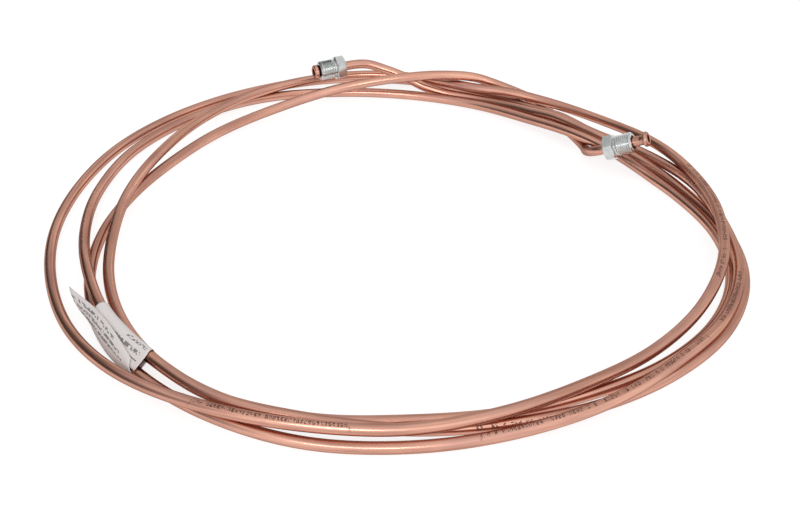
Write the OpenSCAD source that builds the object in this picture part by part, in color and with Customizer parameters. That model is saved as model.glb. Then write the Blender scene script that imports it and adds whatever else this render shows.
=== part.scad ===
// Coil of soft copper tube, wound by hand and lying loose on the floor.
// Both ends are flared, a male flare nut turns freely on each end,
// and a paper label is wrapped round two of the turns.

/* [Tube] */
// Outside diameter of the tube
tube_od = 4.75; // [4:0.05:6.5]
// Wall of the tube
tube_wall = 0.7; // [0.5:0.1:1]
// Mean radius of the coil
coil_r = 138; // [120:1:170]
// Room between turns that lie on one another
strand_gap = 0.1; // [0.05:0.05:0.4]

/* [Flares] */
// Outside diameter of a flare
flare_od = 7.1; // [6.8:0.1:8.5]
// Length of a flare, from its face to the plain tube
flare_len = 2.6; // [2:0.1:4]

/* [Nuts] */
// Outside diameter of the thread
thread_d = 10; // [9.5:0.5:12]
// Width of the hexagon across its flats
nut_af = 11; // [11:0.5:14]
// Length of the hexagon
hex_len = 5.5; // [4:0.5:8]
// Length of the threaded barrel
barrel_len = 8.5; // [7:0.5:12]
// Room between a nut's bore and the tube, across the diameter
nut_play = 0.4; // [0.3:0.05:0.8]
// Bare tube between the left nut and its flare
left_bare = 0.5; // [0.1:0.1:6]
// Bare tube between the right nut and its flare
right_bare = 5; // [0.5:0.5:6]

/* [Label] */
// Length of the label along the tube
label_len = 41; // [30:1:48]
// Thickness of the label
label_t = 0.3; // [0.2:0.05:0.5]
// Room between the label and the tube
label_gap = 0.35; // [0.3:0.05:0.5]
// Height of the label's free flap
flap_h = 8; // [5:0.5:10]

/* [Hidden] */

copper = "#b5653c";
zinc = "#c9ccd0";
paper = "#eceae6";

tube_r = tube_od / 2;
bore_r = tube_r - tube_wall;
strand_step = tube_od + strand_gap;
nut_len = hex_len + barrel_len;
nut_corner_r = nut_af / sqrt(3);

// Room under the lowest turns, used up where the tube sags a little between its points
floor_room = 0.05;

// Room under the left nut, where its tube comes down off it onto the turns below
rest_room = 0.3;

// Where the middle of the turns lies, so that the box round the whole coil is centred on the origin
coil_middle = [6.7, -8.85];

// The way of the tube, clockwise seen from above: [clock angle from the back,
// offset outwards from the mean radius in tube steps, height above the floor in tube steps].
// First turn, down from the left nut, over the crossing at the back right and out to the right front
first_turn = [
    [-8, 2.2, 2.75], [-4, 1.7, 2.2], [0, 1.2, 1.5], [4, 0.7, 0.65], [8, 0.5, 0.15], [15, -0.1, 0.1],
    [22.5, -1.2, 0.4], [30, -2.4, 0.9], [37.5, -3.1, 1.4], [45, -3.35, 1.4], [52.5, -3.2, 1.25],
    [60, -2.75, 0.8], [67.5, -1.85, 0.35], [75, -1.15, 0.1], [82.5, -0.4, 0], [90, 0.3, 0], [105, 1.2, 0],
    [120, 1.2, 0], [135, 0.5, 0], [150, -0.3, 0], [165, -1.1, 0], [180, -1.3, 0.1], [195, -0.7, 0.8],
    [210, -0.1, 1], [225, -0.5, 1], [233.5, -0.5, 1], [240, -0.4, 1], [255, -0.3, 1.1], [270, 0.4, 0.6],
    [285, 1.7, 0.1], [300, 3, 0], [315, 3.5, 0], [330, 3.2, 0], [345, 1.6, 0],
];
// Second turn, the innermost at the back, then along the floor
second_turn = [
    [360, 0, 0], [375, -1.5, 0.1], [390, -3.5, 0.6], [405, -4.3, 1.1], [412.5, -4.2, 1.1], [420, -3.8, 0.8],
    [427.5, -2.9, 0.2], [435, -2.2, 0.05], [450, -0.75, 0], [465, 0.1, 0], [480, 0, 0], [495, -0.8, 0],
    [510, -1.8, 0], [525, -2.3, 0], [540, -2.4, 0], [555, -1.65, 0], [570, -1.1, 0], [585, -1.2, 0],
    [600, -1.6, 0], [615, -2, 0.2], [630, -2.35, 1], [645, -1.8, 1], [660, -0.7, 1], [675, 1.1, 1],
    [690, 2.8, 1], [705, 3.4, 1], [712.5, 3.2, 1],
];
// Third turn, on the second layer, highest over the crossing at the right
third_turn = [
    [720, 2.5, 1], [727.5, 1.2, 1.1], [735, 0.1, 1.25], [742.5, -0.1, 1.4], [750, 0, 1.2], [765, 0, 1.1],
    [780, -0.3, 1.7], [795, -0.9, 2.3], [810, -0.9, 2.5], [825, -0.8, 2.1], [840, -1.2, 1.4],
    [855, -1.7, 1], [870, -1.9, 1], [885, -1.3, 1], [900, -0.2, 1.1], [915, 0.5, 1.2], [930, 1.3, 1.1],
    [945, 2.3, 0.9], [960, 2.6, 0.3], [975, 2.8, 0.05], [990, 3.3, 0], [1005, 3.9, 0], [1020, 4.7, 0],
    [1035, 5.1, 0], [1050, 5.2, 0], [1065, 5, 0],
];
// Fourth turn, the outermost at the back left, then over the right side and along the floor
fourth_turn = [
    [1080, 3.7, 0], [1095, 1.5, 0.05], [1102.5, 0.2, 0.25], [1110, -1.2, 0.6], [1117.5, -2.1, 1.05],
    [1125, -2.45, 0.85], [1140, -1.55, 0.9], [1155, -0.75, 1.25], [1170, -0.4, 1.4], [1185, 0.6, 1.2],
    [1200, 0.8, 1], [1215, 0.4, 1], [1222.5, 0.5, 1], [1230, 0.5, 0.8], [1245, 0.1, 0.1], [1260, 0.5, 0],
    [1275, 1, 0], [1290, 1, 0.1], [1305, 0.8, 0.15], [1313.5, 0.6, 0.15], [1320, 0.3, 0.15],
    [1335, -0.4, 0.05], [1350, -1.1, 0], [1365, -1.65, 0], [1380, -1.75, 0], [1395, -1.3, 0.2],
    [1410, -1.1, 0.7], [1425, -0.7, 1.5],
];
// Last stretch, over the bundle at the back, under it again and up to the right nut
last_stretch = [
    [1440, -0.6, 2.35], [1447.5, 0.2, 2.35], [1455, 1.2, 1.9], [1459, 1.6, 1.25], [1462, 2.1, 0.6],
    [1465, 2.1, 0.2], [1468, 1.4, 0.05], [1473, -0.2, 0], [1479, -2.2, 0], [1485, -3.6, 0],
    [1487.5, -4.2, 0.05], [1489.5, -4.9, 0.25], [1491.5, -5.5, 0.7], [1494.5, -6.1, 1.4],
];
stations = concat(first_turn, second_turn, third_turn, fourth_turn, last_stretch);

function unit(v) = v / norm(v);
function heading(clock, rise) = [sin(clock) * cos(rise), cos(clock) * cos(rise), sin(rise)];
function around(clock, r, z) = [coil_middle[0] + r * sin(clock), coil_middle[1] + r * cos(clock), z];
function reach(s) = coil_r + strand_step * s[1];
function height(s) = tube_r + floor_room + strand_step * s[2];
function place(s) = around(s[0], reach(s), height(s));

// Rear face of each nut, and the way from there to its flare
left_rear = around(-12.8, coil_r + 1.8 * strand_step, 2 * strand_step + nut_corner_r + rest_room);
left_way = heading(244.5, 0);
left_run = nut_len + flare_len + left_bare;
right_rear = around(57.8, coil_r - 5.7 * strand_step, 1.3 * strand_step + nut_corner_r);
right_way = heading(109.5, 24.5);
right_run = nut_len + flare_len + right_bare;

// Straight tube past the rear of each nut, before the tube may bend
left_lead = 3;
right_lead = 1.5;

// All the points of the tube's axis between the two flares
route = concat(
    [for (s = [left_run - flare_len, nut_len / 2, 0, -left_lead]) left_rear + left_way * s],
    [for (s = stations) place(s)],
    [for (s = [-right_lead, 0, nut_len / 2, right_run - flare_len]) right_rear + right_way * s]
);
last = len(route) - 1;

// A smooth curve through the points: the slope at each is that of the parabola through it
// and its neighbours, measured along the chords
function chord(i) = norm(route[i + 1] - route[i]);
function pull(i) = (route[i + 1] - route[i]) / chord(i);
function slope(i) = i == 0 ? pull(0) : i == last ? pull(last - 1)
    : (pull(i - 1) * chord(i) + pull(i) * chord(i - 1)) / (chord(i - 1) + chord(i));
function curve(i, t) = (2 * t ^ 3 - 3 * t ^ 2 + 1) * route[i] + (3 * t ^ 2 - 2 * t ^ 3) * route[i + 1]
    + chord(i) * ((t ^ 3 - 2 * t ^ 2 + t) * slope(i) + (t ^ 3 - t ^ 2) * slope(i + 1));
function tangent(i, t) = unit(6 * (t ^ 2 - t) * (route[i] - route[i + 1])
    + chord(i) * ((3 * t ^ 2 - 4 * t + 1) * slope(i) + (3 * t ^ 2 - 2 * t) * slope(i + 1)));

// Rings of the sweep: [middle, way, outer radius, bore radius]
ring_step = 19;
function rings_in(i) = max(2, ceil(chord(i) / ring_step));
flare_face = [
    [0, 0.7 * flare_od / 2, bore_r + 0.13 * flare_od / 2],
    [0.2 * flare_len, 0.95 * flare_od / 2, bore_r],
    [0.4 * flare_len, flare_od / 2, bore_r],
    [0.6 * flare_len, flare_od / 2, bore_r],
];
rings = concat(
    [for (f = flare_face) [left_rear + left_way * (left_run - f[0]), -left_way, f[1], f[2]]],
    [for (i = [0 : last - 1]) for (k = [0 : rings_in(i) - 1])
        let (t = k / rings_in(i)) [curve(i, t), tangent(i, t), tube_r, bore_r]],
    [[route[last], right_way, tube_r, bore_r]],
    [for (j = [len(flare_face) - 1 : -1 : 0])
        let (f = flare_face[j]) [right_rear + right_way * (right_run - f[0]), right_way, f[1], f[2]]]
);

// Corners of a ring: twelve round the outside, then six round the bore
outer_sides = 12;
bore_sides = outer_sides / 2;
corners = outer_sides + bore_sides;
function round_ring(ring, r, sides) = let (side = unit(cross(ring[1], [0, 0, 1])), up = cross(side, ring[1]))
    [for (j = [0 : sides - 1]) let (a = 360 * j / sides) ring[0] + r * (cos(a) * side + sin(a) * up)];
function outer(i, j) = i * corners + j % outer_sides;
function inner(i, j) = i * corners + outer_sides + j % bore_sides;

// The annular face of a flare, as three triangles for each side of the bore
function end_face(i, k) = [
    [outer(i, 2 * k), inner(i, k), outer(i, 2 * k + 1)],
    [outer(i, 2 * k + 1), inner(i, k), inner(i, k + 1)],
    [outer(i, 2 * k + 1), inner(i, k + 1), outer(i, 2 * k + 2)],
];
function turned(f) = [f[2], f[1], f[0]];

module copper_tube() {
    last_ring = len(rings) - 1;
    points = [for (ring = rings) each concat(
        round_ring(ring, ring[2], outer_sides),
        round_ring(ring, ring[3], bore_sides)
    )];
    outside = [for (i = [0 : last_ring - 1]) for (j = [0 : outer_sides - 1]) each [
        [outer(i, j), outer(i, j + 1), outer(i + 1, j + 1)],
        [outer(i, j), outer(i + 1, j + 1), outer(i + 1, j)],
    ]];
    bore = [for (i = [0 : last_ring - 1]) for (j = [0 : bore_sides - 1]) each [
        [inner(i, j), inner(i + 1, j + 1), inner(i, j + 1)],
        [inner(i, j), inner(i + 1, j), inner(i + 1, j + 1)],
    ]];
    left_face = [for (k = [0 : bore_sides - 1]) each end_face(0, k)];
    right_face = [for (k = [0 : bore_sides - 1]) for (f = end_face(last_ring, k)) turned(f)];
    color(copper)
        polyhedron(points, concat(outside, bore, left_face, right_face), convexity = 12);
}

// A male flare nut, its rear face at the origin and its threaded nose along +Z
module flare_nut() {
    edge = 0.8;
    relief = 0.6;
    bore = tube_od + nut_play;
    difference() {
        union() {
            intersection() {
                cylinder(h = hex_len, d = 2 * nut_corner_r, $fn = 6);
                rotate_extrude($fn = 96)
                    polygon([
                        [0, 0], [nut_corner_r - 2 * edge, 0], [nut_corner_r, edge],
                        [nut_corner_r, hex_len - edge], [nut_corner_r - 2 * edge, hex_len], [0, hex_len],
                    ]);
            }
            rotate_extrude($fn = 96)
                polygon([
                    [0, hex_len / 2], [thread_d / 2 - relief, hex_len / 2],
                    [thread_d / 2 - relief, hex_len + edge], [thread_d / 2, hex_len + edge + relief],
                    [thread_d / 2, nut_len - edge], [thread_d / 2 - edge, nut_len], [0, nut_len],
                ]);
        }
        translate([0, 0, -1])
            cylinder(h = nut_len + 2, d = bore, $fn = 96);
        translate([0, 0, nut_len - edge])
            cylinder(h = 2 * edge, d1 = bore, d2 = bore + 4 * edge, $fn = 96);
    }
}

// Turns +Z to a given way and moves to a given place
module stand_at(rear, way) {
    translate(rear)
        rotate([0, acos(way[2]), atan2(way[1], way[0])])
            children();
}

module flare_nut_left() {
    color(zinc)
        stand_at(left_rear, left_way)
            flare_nut();
}

module flare_nut_right() {
    color(zinc)
        stand_at(right_rear, right_way)
            flare_nut();
}

// The label: one strip of paper, wrapped round the upper strand and the outer strand beside it.
// It starts on the outer side, goes over the top, down inside and under, and its end stands up as a flap.
// It lies where the first turn runs beside and above the fourth.
label_station = 25;
label_middle = first_turn[label_station][0];
label_reach = label_len / coil_r * 90 / PI;
wrap_r = tube_r + label_gap + label_t / 2;
reaches = [for (s = stations) [s[0], reach(s)]];
heights = [for (s = stations) [s[0], height(s)]];
upper_turn = 0;
outer_turn = 1080;
function strand(clock, turn) = [lookup(clock + turn, reaches), lookup(clock + turn, heights)];

// A point of the wrap in the section plane, by its way round a strand
function round_strand(middle, a) = middle + wrap_r * [cos(a), sin(a)];

// The section of the wrap at a clock angle: the outer strand's top side, round the upper strand,
// and under the outer strand to the foot of the flap
wrap_steps = 6;
under_turn = 150;
function wrap(clock) = let (
    u = strand(clock, upper_turn), o = strand(clock, outer_turn),
    lean = atan2(o[1] - u[1], o[0] - u[0]) + 90
) concat(
    [round_strand(o, lean)],
    [for (k = [0 : wrap_steps]) round_strand(u, lean + 180 * k / wrap_steps)],
    [for (k = [0 : wrap_steps]) round_strand(o, lean + 180 + under_turn * k / wrap_steps)]
);
wrap_count = len(wrap(label_middle));

// The flap bulges off the foot and leans back over the wrap, highest in the middle.
// Its back end swings outwards and runs on past the end of the wrap.
flap_steps = 3;
flap_bulge = 4;
flap_lean = 3;
flap_curl = 6.5;
flap_swing = 12.5;
front_skew = 2;
flap_skew = 6;
function flap_out(v) = flap_swing * v ^ 3 - flap_curl * v - flap_lean;
function flap_rise(v) = flap_h * (0.4 + 1.1 * v - 0.9 * v ^ 2);
function flap(clock, v) = let (foot = wrap(min(clock, label_middle + label_reach))[wrap_count - 1])
    [for (k = [1 : flap_steps]) let (s = k / flap_steps)
        foot + [s * flap_out(v) + flap_bulge * s * (1 - s), s * flap_rise(v)]];

// A row of the strip along the tube: v runs from the front end to the back end
label_rows = 8;
strip_count = wrap_count + flap_steps;
function strip_clock(j, v) = label_middle - label_reach + v * 2 * label_reach
    + (front_skew + flap_skew * v ^ 3) * max(0, (j - wrap_count + 1) / flap_steps);
function strip_point(j, v) = let (clock = strip_clock(j, v))
    j < wrap_count ? wrap(clock)[j] : flap(clock, v)[j - wrap_count];
function strip_side(j, v) = let (
    a = strip_point(max(0, j - 1), v), b = strip_point(min(strip_count - 1, j + 1), v), d = unit(b - a)
) [d[1], -d[0]];

module paper_label() {
    face = (label_rows + 1) * strip_count;
    function at(i, j) = i * strip_count + j;
    points = [for (side = [-0.5, 0.5]) for (i = [0 : label_rows]) for (j = [0 : strip_count - 1])
        let (v = i / label_rows, p = strip_point(j, v) + side * label_t * strip_side(j, v))
            around(strip_clock(j, v), p[0], p[1])];
    cells = [for (i = [0 : label_rows - 1]) for (j = [0 : strip_count - 2]) each [
        [at(i, j), at(i + 1, j + 1), at(i + 1, j)],
        [at(i, j), at(i, j + 1), at(i + 1, j + 1)],
    ]];
    rim = concat(
        [for (j = [0 : strip_count - 2]) [at(0, j), at(0, j + 1)]],
        [for (i = [0 : label_rows - 1]) [at(i, strip_count - 1), at(i + 1, strip_count - 1)]],
        [for (j = [strip_count - 1 : -1 : 1]) [at(label_rows, j), at(label_rows, j - 1)]],
        [for (i = [label_rows : -1 : 1]) [at(i, 0), at(i - 1, 0)]]
    );
    color(paper)
        polyhedron(points, concat(
            cells,
            [for (f = cells) [f[2] + face, f[1] + face, f[0] + face]],
            [for (e = rim) each [[e[0], e[1] + face, e[1]], [e[0], e[0] + face, e[1] + face]]]
        ), convexity = 6);
}

copper_tube();
flare_nut_left();
flare_nut_right();
paper_label();
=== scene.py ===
import math

import bpy
import numpy as np
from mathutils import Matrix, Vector


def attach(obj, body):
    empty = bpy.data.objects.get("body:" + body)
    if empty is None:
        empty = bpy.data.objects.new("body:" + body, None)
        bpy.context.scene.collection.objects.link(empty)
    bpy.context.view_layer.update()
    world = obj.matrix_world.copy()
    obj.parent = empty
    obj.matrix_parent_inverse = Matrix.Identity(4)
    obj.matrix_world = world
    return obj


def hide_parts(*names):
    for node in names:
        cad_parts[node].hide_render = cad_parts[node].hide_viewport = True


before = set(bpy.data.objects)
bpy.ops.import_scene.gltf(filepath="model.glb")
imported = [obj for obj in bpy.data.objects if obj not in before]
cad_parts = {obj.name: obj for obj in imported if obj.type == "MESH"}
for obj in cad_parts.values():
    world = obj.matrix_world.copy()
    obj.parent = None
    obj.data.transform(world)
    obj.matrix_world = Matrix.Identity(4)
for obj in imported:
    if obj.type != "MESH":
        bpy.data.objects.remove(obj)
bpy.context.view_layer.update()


# Camera: it stands in front of the coil and looks down on it at 33 degrees,
# near enough for the front of the coil to look wider than the back.
view = bpy.data.cameras.new("camera")
view.sensor_fit = "HORIZONTAL"
view.sensor_width = 36.0
view.lens = 58.5
view.clip_start = 0.01
camera = bpy.data.objects.new("camera", view)
camera.location = (0.0036, -0.49115, 0.3016)
camera.rotation_euler = (math.radians(56.75), 0.0, 0.0)
bpy.context.scene.collection.objects.link(camera)
bpy.context.scene.camera = camera
bpy.context.scene.view_settings.view_transform = "Standard"


# Studio: a pale table top, plain soft light from all round that is weaker behind the coil
# and darkest low down on the left, a wide soft box above, a narrow one in front of the coil
# and a faintly lit card behind it that ends on the left.


def linear(colour):
    """Turns an sRGB hex colour into linear red, green, blue and alpha, by the sRGB curve."""
    part = np.array([int(colour[k:k + 2], 16) for k in (1, 3, 5)]) / 255
    part = np.where(part <= 0.04045, part / 12.92, ((part + 0.055) / 1.055) ** 2.4)
    return (*part.tolist(), 1.0)


def add(tree, kind, values={}, links={}, **settings):
    """Adds one node: settings are its own properties, values its unlinked inputs, links its fed inputs.
    Inputs 6 and 7 of a colour mix are its two colours, and inputs 1 to 4 of a map range its two ranges."""
    node = tree.nodes.new(kind)
    for name, setting in settings.items():
        setattr(node, name, setting)
    for name, value in values.items():
        node.inputs[name].default_value = value
    for name, source in links.items():
        tree.links.new(source, node.inputs[name])
    return node


def start_material(name):
    """Makes an empty node material and gives back the material, its tree and its output node."""
    material = bpy.data.materials.new(name)
    material.use_nodes = True
    material.node_tree.nodes.clear()
    return material, material.node_tree, material.node_tree.nodes.new("ShaderNodeOutputMaterial")


def surface(name, points, uv, close_rows=False, close_columns=False):
    """A mesh of one four-sided face for each cell of a grid of points, closed on itself where asked.
    uv holds one pair for each corner of the opened-out grid."""
    rows, columns = points.shape[:2]
    i = np.arange(rows if close_rows else rows - 1)[:, None]
    j = np.arange(columns if close_columns else columns - 1)[None, :]
    corners = [(i, j), (i, j + 1), (i + 1, j + 1), (i + 1, j)]
    quads = np.stack([(a % rows) * columns + b % columns for a, b in corners], -1).reshape(-1, 4)
    mesh = bpy.data.meshes.new(name)
    mesh.from_pydata(points.reshape(-1, 3), [], quads)
    layer = mesh.uv_layers.new(name="laid_out")
    layer.data.foreach_set("uv", np.stack([uv[a, b] for a, b in corners], 2).reshape(-1))
    mesh.shade_smooth()
    piece = bpy.data.objects.new(name, mesh)
    bpy.context.scene.collection.objects.link(piece)
    return piece


table_half = 3.0
table_drop = 0.00005
table_rows = 9
table_grid = np.linspace(-table_half, table_half, table_rows)
table_points = np.stack(np.meshgrid(table_grid, table_grid, [-table_drop]), -1)
table_points = table_points.reshape(table_rows, table_rows, 3)
table_top = surface("table_top", table_points[::-1], table_points[::-1, :, :2])
# Matt white board: gives back an even white, with only a faint shadow under the coil
white_board, tree, out = start_material("white_board")
seen = add(tree, "ShaderNodeLightPath")
direct = add(tree, "ShaderNodeMath", operation="MAXIMUM",
             links={0: seen.outputs["Is Camera Ray"], 1: seen.outputs["Is Glossy Ray"]})
direct = add(tree, "ShaderNodeMath", operation="MAXIMUM",
             links={0: direct.outputs[0], 1: seen.outputs["Is Transmission Ray"]})
glow = add(tree, "ShaderNodeMath", {1: 0.82}, {0: direct.outputs[0]}, operation="MULTIPLY")
lit = add(tree, "ShaderNodeBsdfDiffuse", {"Color": linear("#8c8c8c")})
even = add(tree, "ShaderNodeEmission", {"Color": linear("#ffffff")}, {"Strength": glow.outputs[0]})
both = add(tree, "ShaderNodeAddShader", {}, {0: lit.outputs[0], 1: even.outputs[0]})
tree.links.new(both.outputs[0], out.inputs["Surface"])
table_top.data.materials.append(white_board)

room = bpy.data.worlds.new("room")
bpy.context.scene.world = room
room.use_nodes = True
tree = room.node_tree
tree.nodes.clear()
look = add(tree, "ShaderNodeTexCoord")
way = add(tree, "ShaderNodeSeparateXYZ", {}, {0: look.outputs["Generated"]})
# From the front to the back the room grows dimmer
level = add(tree, "ShaderNodeMapRange", {1: -1.0, 2: 1.0, 3: 1.32, 4: 0.55}, {0: way.outputs["Y"]})
# Towards the left and a little back only a tenth of the light is left, from the floor up to 30 degrees
dark_way = (-0.966, 0.259, 0.0)
left = add(tree, "ShaderNodeVectorMath", {1: dark_way}, {0: look.outputs["Generated"]},
           operation="DOT_PRODUCT")
left = add(tree, "ShaderNodeMapRange", {1: 0.35, 2: 0.85, 3: 0.0, 4: 0.9}, {0: left.outputs["Value"]},
           interpolation_type="SMOOTHSTEP")
low = add(tree, "ShaderNodeMapRange", {1: 0.5, 2: 0.8, 3: 1.0, 4: 0.0}, {0: way.outputs["Z"]})
dark = add(tree, "ShaderNodeMath", {}, {0: left.outputs[0], 1: low.outputs[0]}, operation="MULTIPLY")
share = add(tree, "ShaderNodeMath", {0: 1.0}, {1: dark.outputs[0]}, operation="SUBTRACT")
level = add(tree, "ShaderNodeMath", {}, {0: level.outputs[0], 1: share.outputs[0]}, operation="MULTIPLY")
back = add(tree, "ShaderNodeBackground", {"Color": linear("#ffffff")}, {"Strength": level.outputs[0]})
add(tree, "ShaderNodeOutputWorld", {}, {"Surface": back.outputs[0]})

for name, place, aim, width, length, power in (
    ("box_above", (0.10, 0.0, 1.20), (0.0, 0.0, 0.0), 1.0, 0.7, 0.2),
    ("box_front", (-0.18, -1.0, 0.62), (0.0, 0.0, 0.0), 0.65, 0.14, 2.3),
    ("card_behind", (0.08, 0.42, 0.12), (0.08, 0.0, 0.12), 0.9, 0.24, 0.28),
):
    lamp = bpy.data.lights.new(name, "AREA")
    lamp.shape = "RECTANGLE"
    lamp.size = width
    lamp.size_y = length
    lamp.energy = power
    holder = bpy.data.objects.new(name, lamp)
    holder.location = place
    holder.rotation_euler = (Vector(place) - Vector(aim)).to_track_quat("Z", "Y").to_euler()
    holder.visible_camera = False
    bpy.context.scene.collection.objects.link(holder)


# Copper tube: one length of soft drawn copper tube, wound by hand into four loose turns,
# woven over and under itself, with both ends rolled into a flare.
# It lies on the table and is held together only by its own weave and the label.
mm = 0.001
tube_r = 4.75 / 2 * mm
bore_r = tube_r - 0.7 * mm
coil_r = 138 * mm
strand_step = 4.85 * mm
floor_room = 0.05 * mm
coil_middle = np.array([6.7, -8.85]) * mm
flare_r = 7.1 / 2 * mm
flare_len = 2.6 * mm
nut_len = 14 * mm
nut_corner_r = 11 / math.sqrt(3) * mm
# The way of the tube: clock angle from the back, offset outwards and height, both in tube steps
stations = np.array([
    (-8, 2.2, 2.75), (-4, 1.7, 2.2), (0, 1.2, 1.5), (4, 0.7, 0.65), (8, 0.5, 0.15), (15, -0.1, 0.1),
    (22.5, -1.2, 0.4), (30, -2.4, 0.9), (37.5, -3.1, 1.4), (45, -3.35, 1.4), (52.5, -3.2, 1.25),
    (60, -2.75, 0.8), (67.5, -1.85, 0.35), (75, -1.15, 0.1), (82.5, -0.4, 0), (90, 0.3, 0), (105, 1.2, 0),
    (120, 1.2, 0), (135, 0.5, 0), (150, -0.3, 0), (165, -1.1, 0), (180, -1.3, 0.1), (195, -0.7, 0.8),
    (210, -0.1, 1), (225, -0.5, 1), (233.5, -0.5, 1), (240, -0.4, 1), (255, -0.3, 1.1), (270, 0.4, 0.6),
    (285, 1.7, 0.1), (300, 3, 0), (315, 3.5, 0), (330, 3.2, 0), (345, 1.6, 0),
    (360, 0, 0), (375, -1.5, 0.1), (390, -3.5, 0.6), (405, -4.3, 1.1), (412.5, -4.2, 1.1), (420, -3.8, 0.8),
    (427.5, -2.9, 0.2), (435, -2.2, 0.05), (450, -0.75, 0), (465, 0.1, 0), (480, 0, 0), (495, -0.8, 0),
    (510, -1.8, 0), (525, -2.3, 0), (540, -2.4, 0), (555, -1.65, 0), (570, -1.1, 0), (585, -1.2, 0),
    (600, -1.6, 0), (615, -2, 0.2), (630, -2.35, 1), (645, -1.8, 1), (660, -0.7, 1), (675, 1.1, 1),
    (690, 2.8, 1), (705, 3.4, 1), (712.5, 3.2, 1),
    (720, 2.5, 1), (727.5, 1.2, 1.1), (735, 0.1, 1.25), (742.5, -0.1, 1.4), (750, 0, 1.2), (765, 0, 1.1),
    (780, -0.3, 1.7), (795, -0.9, 2.3), (810, -0.9, 2.5), (825, -0.8, 2.1), (840, -1.2, 1.4),
    (855, -1.7, 1), (870, -1.9, 1), (885, -1.3, 1), (900, -0.2, 1.1), (915, 0.5, 1.2), (930, 1.3, 1.1),
    (945, 2.3, 0.9), (960, 2.6, 0.3), (975, 2.8, 0.05), (990, 3.3, 0), (1005, 3.9, 0), (1020, 4.7, 0),
    (1035, 5.1, 0), (1050, 5.2, 0), (1065, 5, 0),
    (1080, 3.7, 0), (1095, 1.5, 0.05), (1102.5, 0.2, 0.25), (1110, -1.2, 0.6), (1117.5, -2.1, 1.05),
    (1125, -2.45, 0.85), (1140, -1.55, 0.9), (1155, -0.75, 1.25), (1170, -0.4, 1.4), (1185, 0.6, 1.2),
    (1200, 0.8, 1), (1215, 0.4, 1), (1222.5, 0.5, 1), (1230, 0.5, 0.8), (1245, 0.1, 0.1), (1260, 0.5, 0),
    (1275, 1, 0), (1290, 1, 0.1), (1305, 0.8, 0.15), (1313.5, 0.6, 0.15), (1320, 0.3, 0.15),
    (1335, -0.4, 0.05), (1350, -1.1, 0), (1365, -1.65, 0), (1380, -1.75, 0), (1395, -1.3, 0.2),
    (1410, -1.1, 0.7), (1425, -0.7, 1.5),
    (1440, -0.6, 2.35), (1447.5, 0.2, 2.35), (1455, 1.2, 1.9), (1459, 1.6, 1.25), (1462, 2.1, 0.6),
    (1465, 2.1, 0.2), (1468, 1.4, 0.05), (1473, -0.2, 0), (1479, -2.2, 0), (1485, -3.6, 0),
    (1487.5, -4.2, 0.05), (1489.5, -4.9, 0.25), (1491.5, -5.5, 0.7), (1494.5, -6.1, 1.4),
])


def around(clock, r, z):
    """Points at clock angles from the back, clockwise from above, at radius r round the coil's middle."""
    clock = np.radians(clock)
    flat = [coil_middle[0] + r * np.sin(clock), coil_middle[1] + r * np.cos(clock), z]
    return np.stack(np.broadcast_arrays(*flat), -1)


def heading(clock, rise):
    """The unit way that points to a clock angle and rises by an angle."""
    clock, rise = math.radians(clock), math.radians(rise)
    return np.array([math.sin(clock) * math.cos(rise), math.cos(clock) * math.cos(rise), math.sin(rise)])


left_rear = around(-12.8, coil_r + 1.8 * strand_step, 2 * strand_step + nut_corner_r + 0.3 * mm)
left_way = heading(244.5, 0)
left_run = nut_len + flare_len + 0.5 * mm
right_rear = around(57.8, coil_r - 5.7 * strand_step, 1.3 * strand_step + nut_corner_r)
right_way = heading(109.5, 24.5)
right_run = nut_len + flare_len + 5 * mm
route = np.concatenate([
    left_rear + left_way * np.array([left_run - flare_len, nut_len / 2, 0, -3 * mm])[:, None],
    around(stations[:, 0], coil_r + strand_step * stations[:, 1],
           tube_r + floor_room + strand_step * stations[:, 2]),
    right_rear + right_way * np.array([-1.5 * mm, 0, nut_len / 2, right_run - flare_len])[:, None],
])


def smooth_way(route, spacing):
    """A cubic through every point of a route. The slope at a point is that of the parabola through it
    and its neighbours, measured along the chords. Gives points about one spacing apart, and the unit way
    at each."""
    step = np.diff(route, axis=0)
    chord = np.linalg.norm(step, axis=1)[:, None]
    pull = step / chord
    inside = (pull[:-1] * chord[1:] + pull[1:] * chord[:-1]) / (chord[:-1] + chord[1:])
    slope = np.concatenate([pull[:1], inside, pull[-1:]])
    count = np.maximum(2, np.ceil(chord[:, 0] / spacing)).astype(int)
    k = np.repeat(np.arange(len(count)), count)
    t = ((np.arange(count.sum()) - np.repeat(np.cumsum(count) - count, count)) / count[k])[:, None]
    point = ((2 * t**3 - 3 * t**2 + 1) * route[k] + (3 * t**2 - 2 * t**3) * route[k + 1]
             + chord[k] * ((t**3 - 2 * t**2 + t) * slope[k] + (t**3 - t**2) * slope[k + 1]))
    way = (6 * (t**2 - t) * (route[k] - route[k + 1])
           + chord[k] * ((3 * t**2 - 4 * t + 1) * slope[k] + (3 * t**2 - 2 * t) * slope[k + 1]))
    point = np.concatenate([point, route[-1:]])
    way = np.concatenate([way, pull[-1:]])
    return point, way / np.linalg.norm(way, axis=1)[:, None]


def carry(middle, way, radius, sides):
    """Rings of the given radius carried along a path: each ring stands square to the path,
    its first corner level with the axis on the coil's outer side, its second quarter on top."""
    side = np.cross((0, 0, 1), way)
    side /= np.linalg.norm(side, axis=1)[:, None]
    up = np.cross(way, side)
    angle = np.linspace(0, 2 * math.pi, sides, endpoint=False)
    spoke = np.cos(angle)[None, :, None] * side[:, None] + np.sin(angle)[None, :, None] * up[:, None]
    return middle[:, None] + radius[:, None, None] * spoke


def run_length(points):
    """The distance of each point of a row from the first one, along the row, in mm."""
    return np.concatenate([[0], np.cumsum(np.linalg.norm(np.diff(points, axis=0), axis=1))]) / mm


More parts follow.
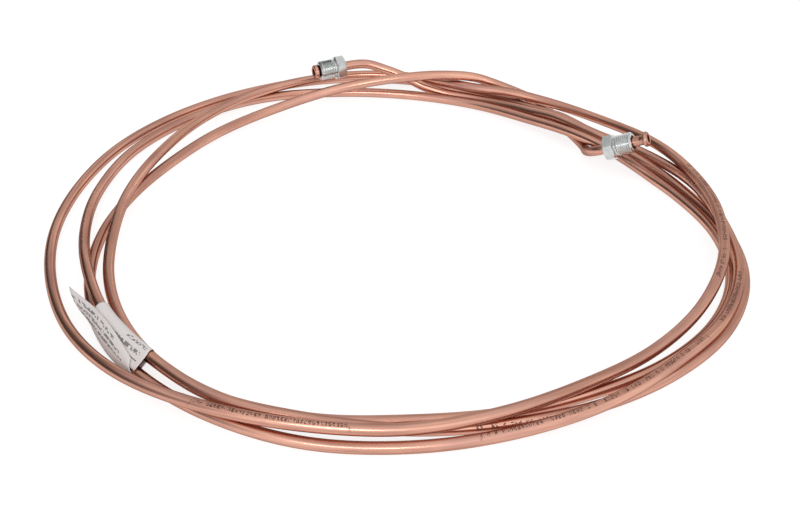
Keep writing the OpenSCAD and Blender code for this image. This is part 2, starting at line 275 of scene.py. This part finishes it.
# Outline of a flare, from its face to the plain tube: share of its length, outer radius, bore radius
flare = np.array([
    (0.00, 0.66 * flare_r, bore_r + 0.13 * flare_r), (0.05, 0.79 * flare_r, bore_r + 0.08 * flare_r),
    (0.13, 0.90 * flare_r, bore_r + 0.03 * flare_r), (0.24, 0.97 * flare_r, bore_r),
    (0.36, flare_r, bore_r), (0.72, flare_r, bore_r),
    (0.81, 0.97 * flare_r, bore_r), (0.88, 0.90 * flare_r, bore_r),
    (0.94, 0.79 * flare_r, bore_r), (0.98, 0.69 * flare_r, bore_r),
])
ring_gap = 2.2 * mm
axis, axis_way = smooth_way(route, ring_gap)
depth = flare[:, :1] * flare_len
middle = np.concatenate([
    left_rear + left_way * (left_run - depth), axis, (right_rear + right_way * (right_run - depth))[::-1],
])
way = np.concatenate([np.tile(-left_way, (len(flare), 1)), axis_way, np.tile(right_way, (len(flare), 1))])
plain = np.full(len(axis), 1.0)
outer_radius = np.concatenate([flare[:, 1], plain * tube_r, flare[::-1, 1]])
inner_radius = np.concatenate([flare[:, 2], plain * bore_r, flare[::-1, 2]])
sides = 24
outside = carry(middle, way, outer_radius, sides)
inside = carry(middle, way, inner_radius, sides)[::-1]
# The bore needs only each sixth ring along its plain length
first, last = len(flare), len(inside) - len(flare)
kept = np.r_[0:first, np.arange(first, last, 6), last:len(inside)]
along = run_length(middle)
grid = np.concatenate([outside, inside[kept]])
grid_along = np.concatenate([along, along[::-1][kept], along[:1]])
uv = np.stack(np.broadcast_arrays(grid_along[:, None], np.linspace(0, 1, sides + 1)[None]), -1)
copper_tube = surface("copper_tube_drawn", grid, uv, close_rows=True, close_columns=True)

# Where the printer has marked the tube: from and to clock angle on the way, and the degrees round the tube
# from its outer side
lead = (len(route) - len(stations)) // 2
nearest = np.argmin(np.linalg.norm(axis[None] - route[lead:-lead][:, None], axis=2), axis=1)
clock_along = along[first] + run_length(axis)[nearest]
marks = ((793, 832, 88), (908, 932, 76), (1186, 1202, 85), (1207, 1250, 83), (156, 170, 35),
         (262, 284, 62), (616, 633, 58))
ink_on = np.zeros(len(grid))
ink_at = np.zeros(len(grid))
for start, end, height in marks:
    a, b = np.interp((start, end), stations[:, 0], clock_along)
    inked = (grid_along[:-1] >= a) & (grid_along[:-1] <= b) & (np.arange(len(grid)) < len(outside))
    ink_on[inked] = 1
    ink_at[inked] = height / 360
# Inside the tube, from just behind the mouth of each flare: the rows where shade is painted into the bore
painted_bore_shade = np.zeros(len(grid))
painted_bore_shade[len(outside) + 2:-2] = 1
for name, values in (("ink_on", ink_on), ("ink_at", ink_at), ("painted_bore_shade", painted_bore_shade)):
    layer = copper_tube.data.attributes.new(name, "FLOAT", "POINT")
    layer.data.foreach_set("value", np.repeat(values, sides).astype(np.float32))

# Soft copper, bright drawn and handled: satin, with fine lines along the tube, patches of pinkish brown
# tarnish, rims that turn grey rather than white, and faint dark dots of printer's ink
drawn_copper, tree, out = start_material("drawn_copper")
laid = add(tree, "ShaderNodeUVMap", uv_map="laid_out")
place = add(tree, "ShaderNodeSeparateXYZ", {}, {0: laid.outputs[0]})
# Lines of the drawing die: 60 mm long and about 1.2 mm apart round the tube, coarser than real,
# so that they show
lines = add(tree, "ShaderNodeMapping", {"Scale": (1 / 60, 12, 1)}, {0: laid.outputs[0]})
lines = add(tree, "ShaderNodeTexNoise", {"Scale": 1.0, "Detail": 3.0}, {0: lines.outputs[0]})
# Tarnish in patches of about 30 mm along the tube
patch = add(tree, "ShaderNodeMapping", {"Scale": (1 / 30, 2, 1)}, {0: laid.outputs[0]})
patch = add(tree, "ShaderNodeTexNoise", {"Scale": 1.0, "Detail": 4.0, "Roughness": 0.6},
            {0: patch.outputs[0]})
patch = add(tree, "ShaderNodeMapRange", {1: 0.35, 2: 0.65}, {0: patch.outputs[0]})
tone = add(tree, "ShaderNodeMix", {6: linear("#e5ae98"), 7: linear("#ca998b")},
           {0: patch.outputs[0]}, data_type="RGBA")
streak = add(tree, "ShaderNodeMapRange", {1: 0.4, 2: 0.65, 3: 0.0, 4: 0.5}, {0: lines.outputs[0]})
tone = add(tree, "ShaderNodeMix", {7: linear("#98654f")},
           {0: streak.outputs[0], 6: tone.outputs[2]}, data_type="RGBA")
# Ink dots in a row, in marks with gaps between them. All sizes in mm
tube_round = 14.9
ink_row_half = 0.9
ink_dot = 0.4
mark_step = 1.4
mark_wide = 1.05
high = add(tree, "ShaderNodeAttribute", attribute_name="ink_at")
off = add(tree, "ShaderNodeMath", {}, {0: place.outputs["Y"], 1: high.outputs["Fac"]}, operation="SUBTRACT")
off_mm = add(tree, "ShaderNodeMath", {1: tube_round}, {0: off.outputs[0]}, operation="MULTIPLY")
far = add(tree, "ShaderNodeMath", {}, {0: off_mm.outputs[0]}, operation="ABSOLUTE")
row = add(tree, "ShaderNodeMath", {1: ink_row_half}, {0: far.outputs[0]}, operation="LESS_THAN")
spot = add(tree, "ShaderNodeCombineXYZ", {}, {"X": place.outputs["X"], "Y": off_mm.outputs[0]})
cell = add(tree, "ShaderNodeVectorMath", {1: (ink_dot, ink_dot, 1)}, {0: spot.outputs[0]}, operation="SNAP")
dots = add(tree, "ShaderNodeTexWhiteNoise", {}, {0: cell.outputs[0]}, noise_dimensions="2D")
dots = add(tree, "ShaderNodeMath", {1: 0.45}, {0: dots.outputs["Value"]}, operation="GREATER_THAN")
group = add(tree, "ShaderNodeMath", {1: mark_step}, {0: place.outputs["X"]}, operation="SNAP")
group = add(tree, "ShaderNodeTexWhiteNoise", {}, {"W": group.outputs[0]}, noise_dimensions="1D")
group = add(tree, "ShaderNodeMath", {1: 0.2}, {0: group.outputs["Value"]}, operation="GREATER_THAN")
apart = add(tree, "ShaderNodeMath", {1: mark_step}, {0: place.outputs["X"]}, operation="MODULO")
apart = add(tree, "ShaderNodeMath", {1: mark_wide}, {0: apart.outputs[0]}, operation="LESS_THAN")
group = add(tree, "ShaderNodeMath", {}, {0: group.outputs[0], 1: apart.outputs[0]}, operation="MULTIPLY")
on = add(tree, "ShaderNodeAttribute", attribute_name="ink_on")
ink = add(tree, "ShaderNodeMath", {}, {0: row.outputs[0], 1: dots.outputs[0]}, operation="MULTIPLY")
ink = add(tree, "ShaderNodeMath", {}, {0: ink.outputs[0], 1: group.outputs[0]}, operation="MULTIPLY")
ink = add(tree, "ShaderNodeMath", {}, {0: ink.outputs[0], 1: on.outputs["Fac"]}, operation="MULTIPLY")
ink = add(tree, "ShaderNodeMath", {1: 0.8}, {0: ink.outputs[0]}, operation="MULTIPLY")
tone = add(tree, "ShaderNodeMix", {7: linear("#3f2018")},
           {0: ink.outputs[0], 6: tone.outputs[2]}, data_type="RGBA")
# Painted shade: the bore is painted dark brown, standing in for the shade inside the tube
bored = add(tree, "ShaderNodeAttribute", attribute_name="painted_bore_shade")
# Painted shade: dark brown mixed in over the bore's rows
tone = add(tree, "ShaderNodeMix", {7: linear("#4a2a20")},
           {0: bored.outputs["Fac"], 6: tone.outputs[2]}, data_type="RGBA")
bare = add(tree, "ShaderNodeMapRange", {1: 0.0, 2: 1.0, 3: 1.0, 4: 0.5}, {0: ink.outputs[0]})
satin = add(tree, "ShaderNodeMapRange", {1: 0.0, 2: 1.0, 3: 0.18, 4: 0.32}, {0: patch.outputs[0]})
fine = add(tree, "ShaderNodeBump", {"Strength": 0.12, "Distance": 0.0002}, {"Height": lines.outputs[0]})
skin = add(tree, "ShaderNodeBsdfPrincipled", {"Specular Tint": linear("#b4aca9")}, {
    "Base Color": tone.outputs[2], "Metallic": bare.outputs[0], "Roughness": satin.outputs[0],
    "Normal": fine.outputs[0],
})
tree.links.new(skin.outputs[0], out.inputs["Surface"])
copper_tube.data.materials.append(drawn_copper)
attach(copper_tube, "coil")
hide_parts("copper_tube")


# Flare nuts: two male flare nuts, turned and threaded from steel bar and zinc plated.
# A hexagon at the rear, a relief groove, the thread, and a bevelled nose with a counterbored mouth.
# Each sits loose on an end of the tube, behind the flare.
hex_len = 5.5 * mm
hex_flat_r = 5.5 * mm
thread_r = 5 * mm
thread_depth = 0.55 * mm
thread_pitch = 1 * mm
nut_bore_r = tube_r + 0.2 * mm
thread_fade = 0.5 * mm
edge = 0.8 * mm
relief = 0.6 * mm
mouth_depth = 3 * edge
thread_start = hex_len + edge + relief
thread_stop = nut_len - edge
nut_sides = 96
# Outline of a nut, once round its section from the rear of the bore: place along the axis, radius,
# and the number of rows up to the next corner
nut_outline = np.array([
    (0, nut_bore_r, 4), (0, nut_corner_r - 2 * edge, 8), (edge, nut_corner_r, 6),
    (hex_len - edge, nut_corner_r, 8), (hex_len, nut_corner_r - 2 * edge, 3),
    (hex_len, thread_r - relief, 4), (hex_len + edge, thread_r - relief, 4), (thread_start, thread_r, 76),
    (thread_stop, thread_r, 6), (nut_len, thread_r - edge, 3), (nut_len, nut_bore_r + edge, 6),
    (nut_len - mouth_depth, nut_bore_r + 0.7 * edge, 3), (nut_len - mouth_depth - edge / 2, nut_bore_r, 10),
    (0, nut_bore_r, 1),
])
hex_legs = (1, 2, 3)
thread_leg = 7


def nut_rows():
    """The nut's surface in its own frame: the outline turned round the axis. On the hexagon the radius is
    no more than the flats allow, flat / cos(angle from the middle of the flat). On the barrel a ridge that
    climbs one pitch a turn is cut from it, fading out at both ends of the thread."""
    count = nut_outline[:-1, 2].astype(int)
    leg = np.repeat(np.arange(len(count)), count)
    t = (np.arange(count.sum()) - np.repeat(np.cumsum(count) - count, count)) / count[leg]
    z, r = ((1 - t)[:, None] * nut_outline[leg, :2] + t[:, None] * nut_outline[leg + 1, :2]).T
    angle = np.linspace(0, 2 * math.pi, nut_sides, endpoint=False)
    flat = hex_flat_r / np.cos(angle % (math.pi / 3) - math.pi / 6)
    radius = np.broadcast_to(r[:, None], (len(r), nut_sides)).copy()
    on_hex = np.isin(leg, hex_legs)
    radius[on_hex] = np.minimum(radius[on_hex], flat)
    ridge = np.abs(2 * ((z[:, None] / thread_pitch - angle / (2 * math.pi)) % 1) - 1)
    fade = np.clip(np.minimum(z - thread_start, thread_stop - z) / thread_fade, 0, 1)
    radius -= np.where(leg == thread_leg, fade, 0)[:, None] * thread_depth * ridge
    return radius * np.cos(angle), radius * np.sin(angle), np.broadcast_to(z[:, None], radius.shape)


nut_x, nut_y, nut_z = nut_rows()
# Along the nut 12 rows, about 1 mm of the thread, are one unit
nut_uv = np.stack(np.meshgrid(np.linspace(0, 1, nut_sides + 1), np.arange(len(nut_x) + 1) / 12), -1)
# Bright zinc plate on turned steel: a plain silver with a faint cold tint, cloudy,
# with fine turning lines round the axis
zinc_plate, tree, out = start_material("zinc_plated_steel")
laid = add(tree, "ShaderNodeUVMap", uv_map="laid_out")
# Turning lines: long round the nut, about 0.15 mm apart along it
turned = add(tree, "ShaderNodeMapping", {"Scale": (3, 7, 1)}, {0: laid.outputs[0]})
turned = add(tree, "ShaderNodeTexNoise", {"Scale": 1.0, "Detail": 3.0}, {0: turned.outputs[0]})
# Cloudy plating, in patches of about 2 mm
object_place = add(tree, "ShaderNodeTexCoord")
cloud = add(tree, "ShaderNodeTexNoise", {"Scale": 1 / (2 * mm), "Detail": 3.0},
            {0: object_place.outputs["Object"]})
tone = add(tree, "ShaderNodeMix", {6: linear("#e0e1df"), 7: linear("#aeb2b2")},
           {0: cloud.outputs[0]}, data_type="RGBA")
gloss = add(tree, "ShaderNodeMapRange", {1: 0.3, 2: 0.7, 3: 0.12, 4: 0.28}, {0: turned.outputs[0]})
ripple = add(tree, "ShaderNodeBump", {"Strength": 0.15, "Distance": 0.0001}, {"Height": turned.outputs[0]})
skin = add(tree, "ShaderNodeBsdfPrincipled", {"Metallic": 1.0}, {
    "Base Color": tone.outputs[2], "Roughness": gloss.outputs[0], "Normal": ripple.outputs[0],
})
tree.links.new(skin.outputs[0], out.inputs["Surface"])
for side, rear, way in (("left", left_rear, left_way), ("right", right_rear, right_way)):
    across = np.array([-way[1], way[0], 0]) / math.hypot(way[0], way[1])
    level = np.cross(across, way)
    points = rear + nut_x[..., None] * level + nut_y[..., None] * across + nut_z[..., None] * way
    nut = surface(f"flare_nut_{side}_turned", points, nut_uv, close_rows=True, close_columns=True)
    nut.data.set_sharp_from_angle(angle=math.radians(32))
    nut.data.materials.append(zinc_plate)
    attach(nut, f"nut_{side}")
    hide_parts(f"flare_nut_{side}")


# Paper label: one strip of white paper, wrapped round the upper strand and the outer strand beside it,
# stuck down on itself, with its printed end standing up as a free flap.
label_len = 41 * mm
label_middle = 233.5
label_reach = math.degrees(label_len / coil_r) / 2
wrap_r = tube_r + 0.5 * mm
wrap_end = math.radians(150)
set_back = 1.4
flap_h = 8 * mm
flap_bulge = 4 * mm
upper_turn = 0
outer_turn = 1080
# Where the strands run: reach and height of the axis by clock angle on the way, from where the tube comes
# down from the left nut to where it goes up to the right one
first_station, last_station = 2, -14
run = slice(nearest[first_station], nearest[last_station])
east, north = (axis[run, :2] - coil_middle).T
axis_clock = np.degrees(np.unwrap(np.arctan2(east, north)))
axis_clock += stations[first_station, 0] - axis_clock[0]
axis_reach = np.hypot(east, north)


def strand(clock, turn):
    """Reach and height of a strand at clock angles, on the turn that starts at the given angle."""
    return np.stack([np.interp(clock + turn, axis_clock, axis_reach),
                     np.interp(clock + turn, axis_clock, axis[run, 2])], -1)


def round_strand(middle, angle):
    """Points of the wrap beside a strand, by their angle round it."""
    return middle + wrap_r * np.stack([np.cos(angle), np.sin(angle)], -1)


def label_surface(rows, straight, arc, flap):
    """The strip as a grid: along the tube by rows, v from the front end to the back, and across it by columns
    that run over the two strands, half round the upper one, back under, part round the outer one, and up the
    flap, s from its foot to its free edge. The lower layer is set back at the front end, by the fourth power
    of 1 - v. The flap bulges off the wrap by s (1 - s) and leans over it in the middle, its height is a
    parabola in v, and its back end swings out past the wrap by the cube of v."""
    v = np.linspace(0, 1, rows)[:, None]
    s = np.concatenate([np.zeros(2 * straight + 2 * arc), np.arange(1, flap + 1) / flap])[None]
    under = np.interp(np.arange(s.size), np.cumsum([straight, arc, straight, arc]), [0, 1, 1, 0])[None]
    swing = (2 + 6 * v**3) * s
    clock = label_middle + (2 * v - 1) * label_reach + swing + set_back * (1 - v)**4 * under
    foot_clock = np.minimum(clock, label_middle + label_reach)
    upper, outer = strand(foot_clock, upper_turn), strand(foot_clock, outer_turn)
    lean = np.arctan2(outer[..., 1] - upper[..., 1], outer[..., 0] - upper[..., 0]) + math.pi / 2
    over_upper, over_outer = round_strand(upper, lean), round_strand(outer, lean)
    under_upper, under_outer = round_strand(upper, lean + math.pi), round_strand(outer, lean + math.pi)
    line = (np.arange(straight) / straight)[None, :, None]
    bend = np.arange(arc) / arc
    a, b, c, d = np.cumsum([straight, arc, straight, arc])
    section = np.empty(clock.shape + (2,))
    section[:, :a] = over_outer[:, :a] + (over_upper - over_outer)[:, :a] * line
    section[:, a:b] = round_strand(upper[:, a:b], lean[:, a:b] + math.pi * bend)
    section[:, b:c] = under_upper[:, b:c] + (under_outer - under_upper)[:, b:c] * line
    turned = math.pi + wrap_end * np.concatenate([bend, np.ones(flap)])
    section[:, c:] = round_strand(outer[:, c:], lean[:, c:] + turned)
    s = s[:, d:]
    section[:, d:, 0] += (12.5 * v**3 - 6.5 * v - 3) * mm * s + flap_bulge * s * (1 - s)
    section[:, d:, 1] += flap_h * (0.4 + 1.1 * v - 0.9 * v**2) * s
    points = around(clock, section[..., 0], section[..., 1])
    across = run_length(points[rows // 2])
    uv = np.stack(np.broadcast_arrays(v * label_len / mm, across[None]), -1)
    return points, uv, across


label_points, label_uv, across = label_surface(64, 8, 14, 16)
paper_label = surface("paper_label_wrapped", label_points, label_uv)
thick = paper_label.modifiers.new("paper_thickness", "SOLIDIFY")
thick.thickness = 0.2 * mm
thick.offset = 0.0
# Matt white label paper: even and slightly grey, with soft creases, faint fibres and rows of small
# grey print that forms no letters
label_paper, tree, out = start_material("matt_label_paper")
laid = add(tree, "ShaderNodeUVMap", uv_map="laid_out")
place = add(tree, "ShaderNodeSeparateXYZ", {}, {0: laid.outputs[0]})
fibre = add(tree, "ShaderNodeTexNoise", {"Scale": 2.5, "Detail": 4.0}, {0: laid.outputs[0]})
tone = add(tree, "ShaderNodeMix", {6: linear("#e5e0de"), 7: linear("#cfc8c6")},
           {0: fibre.outputs[0]}, data_type="RGBA")
crease = add(tree, "ShaderNodeTexNoise", {"Scale": 0.22, "Detail": 2.0}, {0: laid.outputs[0]})
bend = add(tree, "ShaderNodeBump", {"Strength": 0.5, "Distance": 0.0004}, {"Height": crease.outputs[0]})
# Print in rows along the tube, broken into marks 0.8 mm long: from, to, place across and half height
# of each row in mm, and whether it is broken
cell = add(tree, "ShaderNodeVectorMath", {1: (0.8, 0.7, 1)}, {0: laid.outputs[0]}, operation="SNAP")
dots = add(tree, "ShaderNodeTexWhiteNoise", {}, {0: cell.outputs[0]}, noise_dimensions="2D")
dots = add(tree, "ShaderNodeMath", {1: 0.4}, {0: dots.outputs["Value"]}, operation="GREATER_THAN")
printed = None
for start, end, height, half, broken in (
    (2, 15.5, 8.2, 0.7, True), (3, 29, 5.2, 0.7, True), (2.2, 12, 2.8, 0.22, False),
    (4.2, 5.8, 0.5, 0.45, True), (6, 40, 33.2, 0.65, True), (8, 41, 35.5, 0.65, True),
    (14, 41, 37.8, 0.65, True),
):
    inside = add(tree, "ShaderNodeMath", {1: (start + end) / 2, 2: (end - start) / 2},
                 {0: place.outputs["X"]}, operation="COMPARE")
    row = add(tree, "ShaderNodeMath", {1: height, 2: half}, {0: place.outputs["Y"]}, operation="COMPARE")
    row = add(tree, "ShaderNodeMath", {}, {0: row.outputs[0], 1: inside.outputs[0]}, operation="MULTIPLY")
    if broken:
        row = add(tree, "ShaderNodeMath", {}, {0: row.outputs[0], 1: dots.outputs[0]}, operation="MULTIPLY")
    printed = row if printed is None else add(
        tree, "ShaderNodeMath", {}, {0: row.outputs[0], 1: printed.outputs[0]}, operation="MAXIMUM")
faded = add(tree, "ShaderNodeMath", {1: 0.75}, {0: printed.outputs[0]}, operation="MULTIPLY")
tone = add(tree, "ShaderNodeMix", {7: linear("#4a484c")},
           {0: faded.outputs[0], 6: tone.outputs[2]}, data_type="RGBA")
skin = add(tree, "ShaderNodeBsdfPrincipled", {"Roughness": 0.75, "Specular IOR Level": 0.3}, {
    "Base Color": tone.outputs[2], "Normal": bend.outputs[0],
})
tree.links.new(skin.outputs[0], out.inputs["Surface"])
paper_label.data.materials.append(label_paper)
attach(paper_label, "coil")
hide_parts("paper_label")
